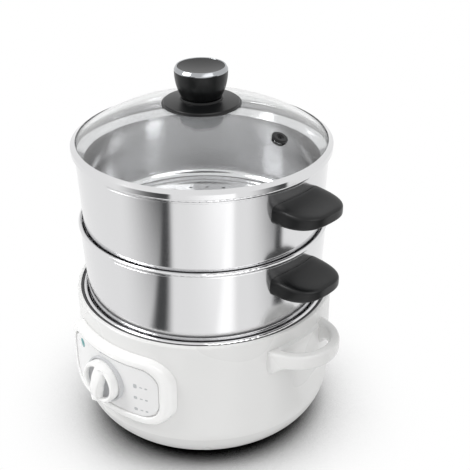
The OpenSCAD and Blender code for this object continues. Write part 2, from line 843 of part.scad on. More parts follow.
module inlet_pins() {
    color(steel) on_back(inlet_z) {
        pin_group(0, pin_back, inlet_face + inlet_flange - socket_depth + pin_len);
    }
}

// Two leads that follow the wall from the inlet round to the timer's terminals
module wiring() {
    x = pins[1][0];
    a = asin(x / wire_ring_r);
    end = asin(8 / wire_ring_r);
    over = 1.2; // how far the curved run goes on past each joint, in degrees
    z = inlet_z + pins[1][1];
    top = tab_z - 0.4;
    neck = wire_r - 0.1;
    color("firebrick") on_each_side() union() {
        translate([0, 0, z]) rotate(-90 + end - over) {
            rotate_extrude(angle = 180 - end - a + 2 * over) {
                translate([wire_ring_r, 0]) circle(r = wire_r, $fn = 36);
            }
        }
        rotate(-90 + end) translate([wire_ring_r, 0, 0]) rod(neck, z, top);
        translate([x, sqrt(pow(wire_ring_r, 2) - x * x), z]) rotate([-90, 0, 0]) rod(neck, 0, 3.9);
    }
}

// ---- Tiers ----

module tier_shell() {
    wall = [[foot_r - sheet, tier_fillet], [foot_r, tier_fillet],
        [wall_in_r + sheet, tier_h - bead_r], [wall_in_r, tier_h - bead_r]];
    seat = [[seat_in_r, tier_h - seat_in_drop], [wall_in_r + sheet / 4, tier_h - seat_out_drop + sheet / 4]];
    color(steel) difference() {
        union() {
            rotate_extrude() foot_section(foot_r, tier_fillet, sheet, 0);
            revolve(wall);
            revolve(walled(seat, sheet));
            bead(tier_h);
        }
        rod(steam_hole_d / 2, -cut, sheet + cut);
        for (k = [1:steam_rings], i = [0:6 * k - 1]) rotate(i * 60 / k) {
            translate([k * steam_pitch, 0, 0]) rod(steam_hole_d / 2, -cut, sheet + cut);
        }
    }
}

grip_top = tier_h - grip_drop;
grip_end = rim_r + grip_reach;
tongue_z = grip_top - grip_root_h / 2;
grip_screw_x = rim_r + tongue_len - 7;
bracket_t = 1.3;
bracket_w = tongue_w + 8;
bracket_h = 12;

// One section through a tier handle at a share s of its length: a soft-edged block that narrows to the tip
function grip_ring(s) = let (x = rim_r - 12 + (grip_end - rim_r + 12) * s, dip = grip_root_h - grip_tip_h,
        top = grip_top - dip * 0.45 * pow(s, 1.6), low = grip_top - grip_root_h + dip * 0.55 * pow(s, 2.4),
        half_w = grip_w / 2 * pow(1 - pow(s, 3), 1 / 3), half_h = (top - low) / 2 * (1 - 0.2 * pow(s, 18)),
        bend = function(v) sign(v) * pow(abs(v), 1 / 3))
    [for (a = [7.5:15:360]) [x, half_w * bend(cos(a)), (top + low) / 2 + half_h * bend(sin(a))]];

module wall_cone(gap, z0, z1) {
    translate([0, 0, z0]) cylinder(h = z1 - z0, r1 = tier_wall_r(z0) + gap, r2 = tier_wall_r(z1) + gap);
}

module tier_grip() {
    head_z = grip_top - grip_root_h + 4.5;
    color(black) difference() {
        loft([for (i = [0:10]) grip_ring(min(sin(9 * i), 0.99))]);
        wall_cone(wall_gap, grip_top - grip_root_h - 5, grip_top + 5);
        intersection() {
            wall_cone(wall_gap + bracket_t + slack, tongue_z - bracket_h / 2 - slack,
                tongue_z + bracket_h / 2 + slack);
            translate([0, -bracket_w / 2 - slack, 0]) cube([grip_end, bracket_w + 2 * slack, tier_h]);
        }
        translate([foot_r, -tongue_w / 2 - slack, tongue_z - tongue_t / 2 - slack]) {
            cube([rim_r + tongue_len + slack - foot_r, tongue_w + 2 * slack, tongue_t + 2 * slack]);
        }
        translate([grip_screw_x, 0, 0]) {
            rod(grip_screw_r + 0.3, head_z - cut, tongue_z + 6);
            rod(2 * grip_screw_r + slack, 0, head_z);
        }
    }
}

module tier_brackets() {
    color(steel) on_each_side() difference() {
        union() {
            intersection() {
                wall_cone(wall_gap + bracket_t, tongue_z - bracket_h / 2, tongue_z + bracket_h / 2);
                translate([0, -bracket_w / 2, 0]) cube([grip_end, bracket_w, tier_h]);
            }
            translate([foot_r - 5, -tongue_w / 2, tongue_z - tongue_t / 2]) {
                cube([rim_r + tongue_len - foot_r + 5, tongue_w, tongue_t]);
            }
        }
        wall_cone(slack / 4, tongue_z - bracket_h, tongue_z + bracket_h);
        translate([grip_screw_x, 0, 0]) rod(grip_screw_r + shaft_gap, tongue_z - 3, tongue_z + 3);
    }
}

module tier_grip_screws() {
    head_z = grip_top - grip_root_h + 4.5;
    color(steel) on_each_side() translate([grip_screw_x, 0, 0]) {
        rod(2 * grip_screw_r, head_z - 2.2, head_z - 0.05);
        rod(grip_screw_r, head_z - 1, tongue_z + 4);
    }
}

module lower_tier() {
    translate([0, 0, lower_z]) tier_shell();
}

module lower_grip_left() {
    translate([0, 0, lower_z]) mirror([1, 0, 0]) tier_grip();
}

module lower_grip_right() {
    translate([0, 0, lower_z]) tier_grip();
}

module lower_brackets() {
    translate([0, 0, lower_z]) tier_brackets();
}

module lower_grip_screws() {
    translate([0, 0, lower_z]) tier_grip_screws();
}

module upper_tier() {
    translate([0, 0, upper_z]) tier_shell();
}

module upper_grip_left() {
    translate([0, 0, upper_z]) mirror([1, 0, 0]) tier_grip();
}

module upper_grip_right() {
    translate([0, 0, upper_z]) tier_grip();
}

module upper_brackets() {
    translate([0, 0, upper_z]) tier_brackets();
}

module upper_grip_screws() {
    translate([0, 0, upper_z]) tier_grip_screws();
}

// ---- Lid ----

// Stand a child on the dome's outer face where the steam vent is, its Z along the glass's normal
module at_vent() {
    tilt = asin(vent_r / dome_r);
    translate([0, 0, dome_z]) rotate([0, tilt, vent_angle]) translate([0, 0, dome_r]) children();
}

module lid_glass() {
    edge = asin(glass_edge_r / dome_r);
    color([0.8, 0.9, 0.9, 0.35]) difference() {
        intersection() {
            translate([0, 0, dome_z]) difference() {
                sphere(r = dome_r);
                sphere(r = dome_r - glass_t);
            }
            translate([0, 0, dome_z]) cylinder(h = dome_r + cut, r1 = 0, r2 = (dome_r + cut) * tan(edge));
        }
        rod(knob_screw_r + 0.15, dome_top - 3 * glass_t, dome_top + cut);
        at_vent() rod(grommet_neck_r + 0.1, -3 * glass_t, glass_t);
    }
}

// A rolled band that grips the glass's edge, with a skirt that drops into the tier's mouth
module lid_band() {
    gap = 0.15;
    in_r = lid_r - band_t;
    skirt_r = mouth_r - skirt_gap;
    lip_z = dome_height(lip_r) + gap;
    low_z = dome_height(in_r) + gap;
    color(steel) revolve([[lid_r, lid_z], [lid_r, low_z + band_t / 2], [lip_r, lip_z + band_t],
        [lip_r, lip_z], [in_r, low_z], [in_r, lid_z + band_t], [skirt_r - band_t, lid_z + band_t],
        [skirt_r - band_t, lid_z - skirt_h], [skirt_r, lid_z - skirt_h], [skirt_r, lid_z]]);
}

module lid_disc() {
    color(black) difference() {
        union() {
            intersection() {
                translate([0, 0, dome_z]) difference() {
                    sphere(r = dome_r + disc_t);
                    sphere(r = dome_r + 0.05);
                }
                rod(disc_r, dome_top - 10, dome_top + 10);
            }
            rod(lid_knob_foot_r + 1.5, dome_top + disc_t - 1.2, lid_knob_z - 0.05);
        }
        rod(knob_screw_r + 0.15, dome_top - cut, lid_knob_z + cut);
        translate([0, 0, dome_z]) sphere(r = dome_r + 0.05);
    }
}

module lid_knob() {
    n = 10;
    top = lid_knob_z + lid_knob_h;
    side = [for (i = [0:n]) let (s = i / n)
        [lid_knob_foot_r + (lid_knob_top_r - lid_knob_foot_r) * (1 - pow(1 - s, 2.2)), lid_knob_z + lid_knob_h * s]];
    color(black) difference() {
        revolve(concat([[0, lid_knob_z]], side, [[0, top]]));
        rod(knob_screw_r + shaft_gap, lid_knob_z - cut, lid_knob_z + lid_knob_h / 2 + 0.5);
    }
}

module knob_ring() {
    low = lid_knob_z + lid_knob_h + 0.05;
    high = low + ring_h;
    color("white") revolve([[lid_knob_top_r, low], [lid_knob_top_r, low + 0.6], [lid_knob_top_r - 0.6, low + 1.2],
        [lid_knob_top_r - 2.6, high - 0.3], [lid_knob_top_r - 3.2, high], [lid_knob_top_r - 3.9, high],
        [lid_knob_top_r - 3.9, low]]);
}

module knob_cap() {
    low = lid_knob_z + lid_knob_h + 0.05;
    r = lid_knob_top_r - 4;
    dish_r = 4 * lid_knob_top_r;
    color(black) difference() {
        rod(r, low, low + ring_h - 0.3);
        translate([0, 0, low + ring_h / 2 + dish_r]) sphere(r = dish_r);
    }
}

module knob_screw() {
    under = dome_top - glass_t - 2.6;
    color(steel) union() {
        rod(4.5, under - 2.6, under);
        rod(knob_screw_r, under - 1, lid_knob_z + lid_knob_h / 2 - 0.5);
    }
}

module knob_washer() {
    inner = dome_r - glass_t - 0.05;
    under = dome_top - glass_t - 2.55;
    hole = knob_screw_r + 0.3;
    color(black) revolve([[hole, under], [9, under], [9, dome_z + sqrt(pow(inner, 2) - 81)],
        [hole, dome_z + sqrt(pow(inner, 2) - pow(hole, 2))]]);
}

module steam_vent() {
    color(black) at_vent() difference() {
        union() {
            rod(grommet_r, 0.2, 1.4);
            rod(grommet_r - 1.2, 1.3, 2.2);
            rod(grommet_neck_r, -glass_t - 0.5, 1);
            rod(grommet_neck_r + 1.2, -glass_t - 1.6, -glass_t - 0.4);
        }
        rod(vent_hole_r, -2 * glass_t, glass_t);
        rod(3.4, 1.2, glass_t);
    }
}

base_housing();
base_cover();
foot_ring();
cover_screws();
base_handle_left();
base_handle_right();
handle_screws();
water_pan();
pan_seal();
heat_plate();
heating_element();
heat_shield();
shield_nut();
thermostat();
thermal_fuse();
panel_bezel();
panel_plate();
dial_ring();
indicator_lens();
indicator_lamp();
timer_module();
timer_screws();
power_inlet();
inlet_pins();
wiring();
timer_knob();
timer_shaft();
lower_tier();
lower_grip_left();
lower_grip_right();
lower_brackets();
lower_grip_screws();
upper_tier();
upper_grip_left();
upper_grip_right();
upper_brackets();
upper_grip_screws();
lid_glass();
lid_band();
lid_disc();
lid_knob();
knob_ring();
knob_cap();
knob_screw();
knob_washer();
steam_vent();
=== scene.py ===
import bmesh
import bpy
import numpy as np
from mathutils import Matrix


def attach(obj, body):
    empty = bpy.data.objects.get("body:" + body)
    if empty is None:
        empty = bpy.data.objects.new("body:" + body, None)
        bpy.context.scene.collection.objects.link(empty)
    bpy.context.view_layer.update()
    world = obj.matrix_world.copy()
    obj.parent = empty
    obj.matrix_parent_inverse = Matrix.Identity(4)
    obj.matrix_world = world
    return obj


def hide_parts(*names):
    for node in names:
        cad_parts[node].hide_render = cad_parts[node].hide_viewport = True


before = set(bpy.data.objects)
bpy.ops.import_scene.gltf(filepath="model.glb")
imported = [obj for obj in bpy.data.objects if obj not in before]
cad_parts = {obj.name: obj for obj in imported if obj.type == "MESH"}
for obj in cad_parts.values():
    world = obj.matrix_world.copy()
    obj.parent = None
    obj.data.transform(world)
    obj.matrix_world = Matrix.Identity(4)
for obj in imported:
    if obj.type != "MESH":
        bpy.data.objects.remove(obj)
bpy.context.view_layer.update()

MM = 0.001

# ---- Base housing and bottom cover ----
# The white wall of the heated base is one ABS moulding, straight-sided and rolled over at the top to a thin
# lip. The bowl-shaped cover below it is a second moulding; four screws from underneath hold the two together.
DRIFT = 9.0  # slow drifts of tint, wear and thickness, in patches of about 110 mm


def linear(hex_colour):
    """Linear RGBA of an sRGB hex colour: each channel c becomes ((c + 0.055) / 1.055) ^ 2.4, or c / 12.92
    where it is near black."""
    c = np.array([int(hex_colour[i:i + 2], 16) / 255 for i in (1, 3, 5)])
    return (*np.where(c > 0.04045, ((c + 0.055) / 1.055) ** 2.4, c / 12.92), 1.0)


def add(tree, kind, sockets=None, **settings):
    """One shader node with its settings; sockets maps an input to a value, or to the output that feeds it."""
    made = tree.nodes.new("ShaderNode" + kind)
    for key, value in settings.items():
        setattr(made, key, value)
    for key, value in (sockets or {}).items():
        if isinstance(value, bpy.types.NodeSocket):
            tree.links.new(value, made.inputs[key])
        else:
            made.inputs[key].default_value = value
    return made


def blank(name):
    """A material with an empty node tree, and that tree."""
    material = bpy.data.materials.new(name)
    material.use_nodes = True
    material.node_tree.nodes.clear()
    return material, material.node_tree


def moulded(name, colour, roughness, grain_mm, depth_mm, coat=0.0, level=0.5):
    """Moulded plastic or rubber: the mould's eroded skin as fine bumps, and a faint slow drift of tint and
    gloss. The IOR is that of ABS, which the others come close to."""
    material, tree = blank(name)
    at = add(tree, "TexCoord").outputs["Object"]
    grain = add(tree, "TexNoise", {"Vector": at, "Scale": 1 / (grain_mm * MM), "Detail": 2.0})
    drift = add(tree, "TexNoise", {"Vector": at, "Scale": DRIFT, "Detail": 1.0})
    gloss = add(tree, "MapRange", {"Value": drift.outputs["Fac"], "From Min": 0.3, "From Max": 0.7,
                                   "To Min": roughness * 0.95, "To Max": roughness * 1.05})
    tint = add(tree, "MapRange", {"Value": drift.outputs["Fac"], "From Min": 0.3, "From Max": 0.7,
                                  "To Min": 0.995, "To Max": 1.005})
    shade = add(tree, "VectorMath", {0: linear(colour)[:3], "Scale": tint.outputs["Result"]},
                operation="SCALE")
    bump = add(tree, "Bump", {"Height": grain.outputs["Fac"], "Strength": 0.3, "Distance": depth_mm * MM})
    face = add(tree, "BsdfPrincipled", {"Base Color": shade.outputs["Vector"],
                                        "Roughness": gloss.outputs["Result"], "IOR": 1.53,
                                        "Specular IOR Level": level, "Coat Weight": coat,
                                        "Coat Roughness": 0.08, "Normal": bump.outputs["Normal"]})
    add(tree, "OutputMaterial", {"Surface": face.outputs["BSDF"]})
    return material


def dress(material, *nodes):
    """Puts a material on CAD nodes that are shown as they are."""
    for name in nodes:
        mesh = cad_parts[name].data
        mesh.materials.clear()
        mesh.materials.append(material)


# ABS with a satin skin gives soft wide highlights. Its real grain is about 0.3 mm; it is drawn at 0.8 mm.
satin_abs = moulded("white_abs_satin_moulded", "#E6E6E5", 0.28, 0.8, 0.02)
dress(satin_abs, "base_housing")

# The cover comes from another batch of the same ABS, a shade darker, so the parting line is a faint step.
cover_abs = moulded("white_abs_cover_moulded", "#DEDEDD", 0.32, 0.8, 0.02)
dress(cover_abs, "base_cover")

# The foot ring is black silicone, pressed into a groove of the cover. It is dull, and shows only from below.
silicone = moulded("black_silicone_pressed", "#1B1B1C", 0.62, 0.9, 0.05)
dress(silicone, "foot_ring", "knob_washer")

# ---- Base handles ----
# A horseshoe band on each side, moulded with the shallow pad that lies on the wall behind it. Two screws
# from inside the housing hold each one. The band thickens where it runs into its pad.
WALL_R = 126.0  # the housing's wall
LOOP_X = 122.0  # centre of the band's half circle, from the axis
LOOP_R = 34.5
LOOP_Z = 123.0
LOOP_RISE = 1.4  # the band's far end stands this much higher than its roots
LOOP_TAIL = 7.0  # run past the half circle, into the wall
BAND_T = 4.75  # half the band's thickness
BAND_H = 7.6  # half the band's height
ROOT_T = 1.6  # growth at the root, in half thickness
ROOT_H = 10.2  # growth at the root, downwards
ROOT_RUN = 8.0
PAD_Z = 117.0
PAD_HALF = np.array([39.5, 14.0])
PAD_RISE = 2.5
PAD_SLOPE = 0.17  # share of the pad's half width over which it falls to the wall


def skin(name, grid, material, ring=(False, True), crease=35):
    """A smooth mesh over rows of points in millimetres: four neighbours make a face, ring says whether the
    rows and the columns close on themselves, and rows that shrink to a point or a line are merged there. A
    grid with one more axis in front holds several such surfaces."""
    rows, cols = grid.shape[-3:-1]
    i, j = np.mgrid[0:rows - (not ring[0]), 0:cols - (not ring[1])]
    up, on = (i + 1) % rows, (j + 1) % cols
    faces = np.stack([i * cols + j, i * cols + on, up * cols + on, up * cols + j], -1).reshape(-1, 4)
    firsts = rows * cols * np.arange(grid.size // (3 * rows * cols))
    faces = (faces + firsts[:, None, None]).reshape(-1, 4)
    mesh = bpy.data.meshes.new(name)
    mesh.from_pydata((grid.reshape(-1, 3) * MM).tolist(), [], faces.tolist())
    clean = bmesh.new()
    clean.from_mesh(mesh)
    bmesh.ops.remove_doubles(clean, verts=clean.verts, dist=1e-6)
    bmesh.ops.dissolve_degenerate(clean, edges=clean.edges, dist=1e-7)
    bmesh.ops.recalc_face_normals(clean, faces=clean.faces)
    clean.to_mesh(mesh)
    clean.free()
    mesh.shade_smooth()
    mesh.set_sharp_from_angle(angle=np.radians(crease))
    mesh.materials.append(material)
    made = bpy.data.objects.new(name, mesh)
    bpy.context.collection.objects.link(made)
    return made


def squircle(angle, power):
    """Cosine and sine of an angle, each kept in sign and raised to 2 / power: a rectangle with soft
    corners."""
    c, s = np.cos(angle), np.sin(angle)
    return np.sign(c) * np.abs(c) ** (2 / power), np.sign(s) * np.abs(s) ** (2 / power)


def handle_loop(side):
    """The band: a soft-cornered section carried round a half circle, then back into the wall. Near each root
    the section grows by a bell curve of the distance left, downwards and in thickness."""
    run = np.linspace(-1, 1, 97)[:, None]
    half_arc = LOOP_R * np.pi / 2
    s = run * (half_arc + LOOP_TAIL)
    turn = np.clip(s / LOOP_R, -np.pi / 2, np.pi / 2)
    past = np.abs(s) - half_arc
    back = np.clip(past, 0, None)
    root = np.exp(-(np.clip(-past, 0, None) / ROOT_RUN) ** 2)
    cx, cy = squircle(np.linspace(0, 2 * np.pi, 40, endpoint=False)[None, :], 3.8)
    out = LOOP_R + cx * (BAND_T + ROOT_T * root)
    x = LOOP_X + out * np.cos(turn) - back
    y = out * np.sin(turn)
    height = np.where(cy > 0, BAND_H * cy, cy * (BAND_H + ROOT_H * root))
    z = LOOP_Z + LOOP_RISE * (1 - root) * np.cos(turn) + height
    return np.stack([side * x, y + 0 * z, z + 0 * x], -1)


def handle_pad(side):
    """The pad: rings from the middle out, each a soft-cornered rectangle wrapped on the wall, raised by a
    smooth step that falls to nothing at the rim; the last two rings close it behind, inside the wall."""
    t = np.concatenate([np.linspace(0, 0.8, 12), np.linspace(0.82, 1, 14), [1, 0]])[:, None]
    cx, cz = squircle(np.linspace(0, 2 * np.pi, 96, endpoint=False)[None, :], 5.0)
    y = t * cx * PAD_HALF[0]
    z = PAD_Z + t * cz * PAD_HALF[1]
    fall = np.clip((1 - t) / PAD_SLOPE, 0, 1)
    r = WALL_R - 0.1 + PAD_RISE * fall ** 2 * (3 - 2 * fall)
    r[-2:] = WALL_R - 1.0
    a = y / WALL_R
    return np.stack([side * r * np.cos(a), r * np.sin(a), z + 0 * y], -1)


for side, word in ((-1, "left"), (1, "right")):
    pad = skin(f"handle_pad_{word}", handle_pad(side), satin_abs)
    loop = skin(f"handle_loop_{word}", handle_loop(side), satin_abs)
    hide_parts(f"base_handle_{word}")
    for piece in (pad, loop):
        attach(piece, "base")

# ---- Water pan and seal ----
# The pan is stainless sheet, deep drawn and polished on a spindle, so its fine lines run round the axis. A
# dark silicone seal fills the gap between its rolled rim and the housing.


def spun_steel(name, colour, roughness, lines_mm, streak, pull=0.6):
    """Metal whose lines run round the axis: noise drawn out level with the ground and fine along Z.
    Highlights are pulled out across the lines, along (normal) x (Z x place)."""
    material, tree = blank(name)
    at = add(tree, "TexCoord").outputs["Object"]
    lines_at = add(tree, "Mapping", {"Vector": at, "Scale": (4.0, 4.0, 1 / (lines_mm * MM))})
    lines = add(tree, "TexNoise", {"Vector": lines_at.outputs["Vector"], "Scale": 1.0, "Detail": 2.0})
    wear = add(tree, "TexNoise", {"Vector": at, "Scale": DRIFT, "Detail": 1.0})
    along = add(tree, "VectorMath", {0: (0, 0, 1), 1: at}, operation="CROSS_PRODUCT")
    normal = add(tree, "NewGeometry").outputs["Normal"]
    across = add(tree, "VectorMath", {0: normal, 1: along.outputs["Vector"]}, operation="CROSS_PRODUCT")
    across = add(tree, "VectorMath", {0: across.outputs["Vector"]}, operation="NORMALIZE")
    gloss = add(tree, "MapRange", {"Value": lines.outputs["Fac"], "From Min": 0.3, "From Max": 0.7,
                                   "To Min": roughness * (1 - streak), "To Max": roughness * (1 + streak)})
    haze = add(tree, "MapRange", {"Value": wear.outputs["Fac"], "From Min": 0.35, "From Max": 0.7,
                                  "To Min": 0.0, "To Max": 0.015})
    rough = add(tree, "Math", {0: gloss.outputs["Result"], 1: haze.outputs["Result"]}, operation="ADD")
    bump = add(tree, "Bump", {"Height": lines.outputs["Fac"], "Strength": 0.06, "Distance": 0.01 * MM})
    face = add(tree, "BsdfPrincipled", {"Base Color": linear(colour), "Metallic": 1.0, "Anisotropic": pull,
                                        "Tangent": across.outputs["Vector"],
                                        "Roughness": rough.outputs["Value"],
                                        "Normal": bump.outputs["Normal"]})
    add(tree, "OutputMaterial", {"Surface": face.outputs["BSDF"]})
    return material


# Polished 18/8 steel, near mirror, softened by the spindle's lines. They are 0.1 mm apart, drawn at 0.6 mm.
steel = spun_steel("stainless_sheet_spun_polished", "#DCDCDD", 0.13, 0.6, 0.12, 0.5)
dress(steel, "water_pan")

# The seal's matt silicone throws no clear highlight, so it reads as one dark line under the rim.
seal_rubber = moulded("grey_silicone_seal", "#343436", 0.55, 0.9, 0.04)
dress(seal_rubber, "pan_seal")

# ---- Control panel ----
# The bezel is a glossy white frame with a soft shoulder, fixed by four posts from inside. A flat pale plate
# is let into it, and a thin dark gap runs round the plate.
PANEL_Z = 91.0
PANEL = np.array([136.0, 73.0])
PANEL_CORNER = 26.0
FACE_R = 135.0  # the frame's face, from the axis
SHOULDER = 4.6
LEDGE_R = 131.0
FOOT_R = 126.2  # the frame's back, just off the wall


def frame_outline(inset, steps=24):
    """Points round the panel's outline, drawn in by inset: quarter turns at the corners and even runs
    between."""
    w, h = PANEL / 2 - inset
    r = PANEL_CORNER - inset
    turn = np.linspace(0, np.pi / 2, steps)
    spots = []
    for k, (sx, sz) in enumerate(((1, 1), (-1, 1), (-1, -1), (1, -1))):
        a = turn + k * np.pi / 2
        spots.append(np.stack([sx * (w - r) + r * np.cos(a), sz * (h - r) + r * np.sin(a)], -1))
        if k % 2 == 0:
            x = np.linspace(sx * (w - r), -sx * (w - r), 42)[1:-1]
            spots.append(np.stack([x, np.full_like(x, sz * h)], -1))
    return np.concatenate(spots)


def bezel_grid():
    """The frame: its section (inset, radius) goes up the foot, over a quarter-round shoulder, across the face
    and down to the ledge; each section point follows the outline, bent round the housing:
    y = -sqrt(R^2 - x^2)."""
    a = np.radians(np.linspace(0, 90, 13))
    section = [(0.0, FOOT_R), (0.0, 128.5)]
    section += [(SHOULDER * (1 - np.cos(t)), FACE_R + SHOULDER * (np.sin(t) - 1)) for t in a]
    section += [(7.0, 134.95), (8.1, 134.8), (8.8, 134.3), (9.1, 133.4)]
    section += [(9.1, LEDGE_R), (12.5, LEDGE_R), (12.5, FOOT_R)]
    rows = []
    for inset, radius in section:
        x, z = frame_outline(inset).T
        rows.append(np.stack([x, -np.sqrt(radius ** 2 - x ** 2), PANEL_Z + z], -1))
    return np.array(rows)


# The same ABS from a polished mould, so its highlights are narrow and bright.
gloss_abs = moulded("white_abs_gloss_moulded", "#F6F6F5", 0.14, 2.5, 0.01, coat=0.4)
bezel = skin("bezel_frame", bezel_grid(), gloss_abs, ring=(True, True), crease=40)
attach(bezel, "base")
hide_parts("panel_bezel")

# The plate has a finely textured skin and stays evenly pale beside the glossy frame. The thin ring round the
# knob is satin grey.
plate_abs = moulded("pale_plate_fine_textured", "#ECECEC", 0.34, 0.7, 0.02)
dress(plate_abs, "panel_plate")
ring_grey = moulded("grey_ring_satin", "#C9CACC", 0.3, 0.8, 0.02)
dress(ring_grey, "dial_ring")

# Three rows of plain marks beside the knob and one above it are pad printed in grey ink on the plate. Each
# mark is (x, z, width, height); the first mark of a row is its tallest.
MARKS = []
for z, tall in ((97, 4.6), (84, 3.2), (71, 3.2)):
    MARKS += [(35.6, z, 3.6, tall), (41.6, z, 3.0, 1.2), (46.6, z, 2.6, 1.7)]
MARKS += [(-6.0, 117.5, 3.2, 1.8)]
INK_R = 133.64  # the ink's face; its back lies just inside the plate
INK_BACK_R = 133.55


def marks_grid():
    """One thin slab for each mark: soft-cornered rings from its middle out and back behind, bent on the
    plate."""
    x, z, w, h = np.array(MARKS).T[:, :, None, None]
    cx, cz = squircle(np.linspace(0, 2 * np.pi, 24, endpoint=False)[None, None, :], 4.0)
    t = np.array([0, 1, 1, 0])[None, :, None]
    r = np.array([INK_R, INK_R, INK_BACK_R, INK_BACK_R])[None, :, None] + 0 * x + 0 * cx
    px = x + t * cx * w / 2
    pz = z + t * cz * h / 2
    return np.stack([px, -np.sqrt(r ** 2 - px ** 2), pz + 0 * px], -1)


# Pad printing ink dries matt, so the marks have no highlight of their own.
ink = moulded("grey_pad_print_ink", "#B9BBBD", 0.5, 0.6, 0.01)
marks = skin("plate_marks", marks_grid(), ink)
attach(marks, "base")

# ---- Timer knob ----
# White ABS with a round rim and a grip bar across it; the two scoops beside the bar are painted silver. It
# is pushed on the timer's shaft and turns clockwise from off.
KNOB_Z = 91.0
KNOB_BACK = 134.4
KNOB_R = 20.9
KNOB_LEAN = 15.0  # degrees that the bar leans to the right at rest
RIM_H = 8.2
RIM_ROUND = 2.3
BAR_H = 15.0
BAR_HALF = 4.6
SCOOP_H = 3.6
SCOOP_X = 10.5  # the scoops' deepest line
BLEND = 2.6  # sharpness of the joins between rim, bar and scoops


def knob_grid():
    """Heights over a disc in rings: the largest of a half-round rim, a crowned grip bar and two scooped
    floors, joined by a soft maximum log(e^(ka) + e^(kb)) / k; the last rings go down the side and close the
    back."""
    t = np.concatenate([np.linspace(0, 1, 84), [1, 1, 0.9, 0.9, 0]])[:, None]
    a = np.linspace(0, 2 * np.pi, 192, endpoint=False)[None, :]
    x = KNOB_R * t * np.cos(a)
    z = KNOB_R * t * np.sin(a)
    r = KNOB_R * t + 0 * a
    rim = RIM_H + np.sqrt(np.clip(RIM_ROUND ** 2 - (r - KNOB_R + RIM_ROUND) ** 2, 0, None))
    rim = rim - 4.0 * np.clip(KNOB_R - 4.4 - r, 0, 3)
    half = BAR_HALF + 0.12 * np.abs(z) - 0.0035 * z ** 2
    crown = BAR_H - 0.011 * z ** 2
    bar = crown - 0.9 * np.clip(np.abs(x) / half, 0, 1) ** 4 - 3.4 * np.clip(np.abs(x) - half, 0, 4)
    floor = SCOOP_H + 0.42 * np.abs(np.abs(x) - SCOOP_X) + 0.012 * z ** 2
    total = sum(np.exp(BLEND * (height - 10)) for height in (rim, bar, floor))
    top = np.minimum(np.log(total) / BLEND + 10, BAR_H)
    top[-5] = 7.5
    top[-4:] = 0.0
    lean = np.radians(-KNOB_LEAN)
    px = x * np.cos(lean) - z * np.sin(lean)
    pz = x * np.sin(lean) + z * np.cos(lean)
    return np.stack([px, -(KNOB_BACK + top), KNOB_Z + pz], -1)


knob_piece = skin("knob_face", knob_grid(), gloss_abs, crease=50)

# The paint covers the floors of the scoops alone and dries satin: a plain light grey from most sides.
silver = moulded("silver_paint_satin", "#B2B3B5", 0.3, 0.8, 0.01)
knob_piece.data.materials.append(silver)
middle = np.empty(3 * len(knob_piece.data.polygons))
knob_piece.data.polygons.foreach_get("center", middle)
middle = middle.reshape(-1, 3) / MM
height = -middle[:, 1] - KNOB_BACK
out = np.hypot(middle[:, 0], middle[:, 2] - KNOB_Z)
sunk = (height < 7.4) & (height > 1) & (out < KNOB_R - 3.4)
knob_piece.data.polygons.foreach_set("material_index", sunk.astype(int))
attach(knob_piece, "knob")
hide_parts("timer_knob")

# ---- Indicator ----
# A teal lens of tinted clear styrene, snapped into the plate, with the lamp behind it. Its tint varies a
# little over about 3 mm, as light in a thick moulding does.
lens_material, tree = blank("teal_styrene_moulded")
at = add(tree, "TexCoord").outputs["Object"]
depth = add(tree, "TexNoise", {"Vector": at, "Scale": 320.0, "Detail": 2.0})
tone = add(tree, "ValToRGB", {"Fac": depth.outputs["Fac"]})
tone.color_ramp.elements[0].color = linear("#0B6F73")
tone.color_ramp.elements[1].color = linear("#18A3A0")
face = add(tree, "BsdfPrincipled", {"Base Color": tone.outputs["Color"], "Roughness": 0.12, "IOR": 1.59,
                                    "Coat Weight": 0.5})
add(tree, "OutputMaterial", {"Surface": face.outputs["BSDF"]})
dress(lens_material, "indicator_lens")
dress(moulded("orange_lamp_body", "#D9772B", 0.2, 0.9, 0.01), "indicator_lamp")

# ---- Heater, timer and wiring ----
# Inside the base: cast heat plate, tubular element, shield, sensors, timer and leads. The housing hides them.
# The screws of every section are here too, since they share one material.

# Machined cast aluminium is duller than the sheet steel, and the element's sheath is oxidised brown grey.
cast_aluminium = spun_steel("aluminium_cast_machined", "#C9CACC", 0.38, 1.2, 0.3)
dress(cast_aluminium, "heat_plate", "thermostat")
sheathed = spun_steel("element_sheath_oxidised", "#6E6A66", 0.45, 1.5, 0.3)
dress(sheathed, "heating_element")
dress(steel, "heat_shield")

# Zinc plate is a cool, slightly dull grey.
zinc = spun_steel("zinc_plated_fastener", "#B9BBBD", 0.3, 0.9, 0.3)
dress(zinc, "cover_screws", "handle_screws", "shield_nut", "timer_screws", "inlet_pins", "timer_shaft",
      "lower_grip_screws", "upper_grip_screws", "knob_screw")

# The fuse's ceramic is glazed and smooth, the timer's nylon matt, and the silicone of the leads satin.
dress(moulded("glazed_ceramic", "#EDEBE4", 0.2, 1.0, 0.01), "thermal_fuse")
dress(moulded("cream_nylon_moulded", "#D9D3BE", 0.45, 0.8, 0.03), "timer_module")
dress(moulded("red_silicone_lead", "#A31F1D", 0.4, 0.8, 0.02), "wiring")

# ---- Power inlet ----
# A socket body of black phenolic, pressed in a mould and snapped into the back of the housing. Its surface
# is dark and even, with a soft dull highlight.
phenolic = moulded("black_phenolic_moulded", "#0C0D0E", 0.34, 0.7, 0.03, level=0.3)
dress(phenolic, "power_inlet")

# ---- Steel tiers ----
# Two like pots, one nested in the other: stainless sheet, drawn, punched with steam holes and polished, the
# rim rolled to a bead.
dress(steel, "lower_tier", "upper_tier", "lower_brackets", "upper_brackets")

